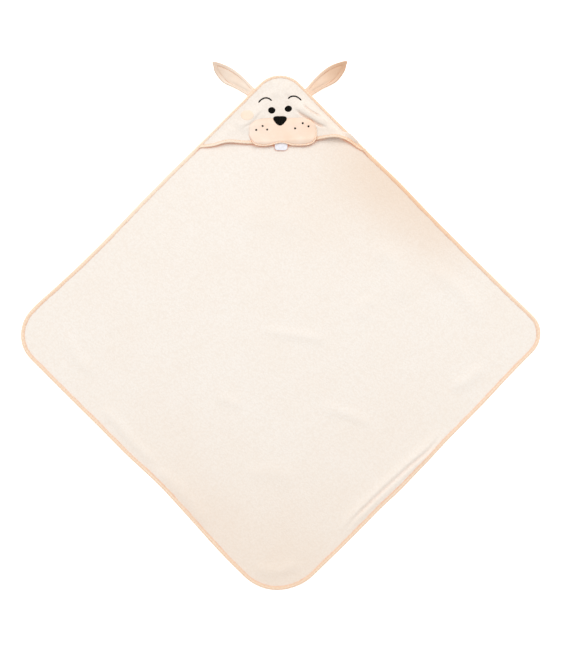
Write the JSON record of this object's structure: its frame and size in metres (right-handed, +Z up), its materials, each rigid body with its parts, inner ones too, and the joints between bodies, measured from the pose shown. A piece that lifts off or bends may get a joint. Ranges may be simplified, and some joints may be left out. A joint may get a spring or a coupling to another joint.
{
  "type": "hooded baby towel",
  "caption": "Square baby towel of looped terry, bound in bias tape, with a corner hood that carries an animal face, a loose tooth tab and floppy ears.",
  "frame": {"origin": "middle of the towel square, on its underside", "axes": "+Y toward the hood's corner, +X to the right with the face up, +Z up out of the face"},
  "size_m": [1.1482, 1.1617, 0.0209],
  "materials": {
    "terry": "looped cotton terry, cream, soft and matt",
    "bias_tape": "plain-woven cotton bias tape, peach, matt",
    "thread": "spun polyester sewing thread, peach, low sheen",
    "ear_cloth": "brushed cotton jersey, peach, matt",
    "muzzle_cloth": "short-pile cotton velour, pale peach, matt",
    "satin_stitch": "dense rayon satin stitch, peach, soft sheen",
    "cheek_cloth": "brushed cotton patch, very pale peach, matt",
    "tooth_cloth": "white cotton twill tab, matt",
    "black_embroidery": "dense black rayon embroidery, soft sheen"
  },
  "bodies": {
    "towel": {"towel_panel": "terry", "edge_binding": "bias_tape", "edge_topstitch": "thread"},
    "hood": {"hood_panel": "terry", "hood_hem_binding": "bias_tape", "hood_hem_topstitch": "thread", "muzzle_patch": "muzzle_cloth", "muzzle_satin_stitch": "satin_stitch", "nose": "black_embroidery", "left_eye": "black_embroidery", "left_eyebrow": "black_embroidery", "left_cheek": "cheek_cloth", "right_eye": "black_embroidery", "right_eyebrow": "black_embroidery", "right_cheek": "cheek_cloth", "whisker_dot_1": "black_embroidery", "whisker_dot_2": "black_embroidery", "whisker_dot_3": "black_embroidery", "whisker_dot_4": "black_embroidery", "whisker_dot_5": "black_embroidery", "whisker_dot_6": "black_embroidery"},
    "tooth_flap": {"tooth": "tooth_cloth"},
    "left_ear": {"left_ear_back": "ear_cloth", "left_ear_front": "ear_cloth", "left_ear_topstitch": "thread"},
    "right_ear": {"right_ear_back": "ear_cloth", "right_ear_front": "ear_cloth", "right_ear_topstitch": "thread"}
  },
  "joints": [
    {"name": "hood_open", "type": "hinge", "parent": "towel", "child": "hood", "pos_m": [0, 0.5674, 0.0039], "axis": [-1, 0, 0], "range_deg": [0, 25]},
    {"name": "tooth_flip", "type": "hinge", "parent": "hood", "child": "tooth_flap", "pos_m": [0.0029, 0.42197, 0.0164], "axis": [-1, 0, 0], "range_deg": [0, 75]},
    {"name": "left_ear_flop", "type": "hinge", "parent": "towel", "child": "left_ear", "pos_m": [-0.06251, 0.53853, 0.0046], "axis": [0.7071, 0.7071, 0], "range_deg": [0, 100]},
    {"name": "right_ear_flop", "type": "hinge", "parent": "towel", "child": "right_ear", "pos_m": [0.06251, 0.53853, 0.0046], "axis": [0.7071, -0.7071, 0], "range_deg": [0, 100]}
  ]
}
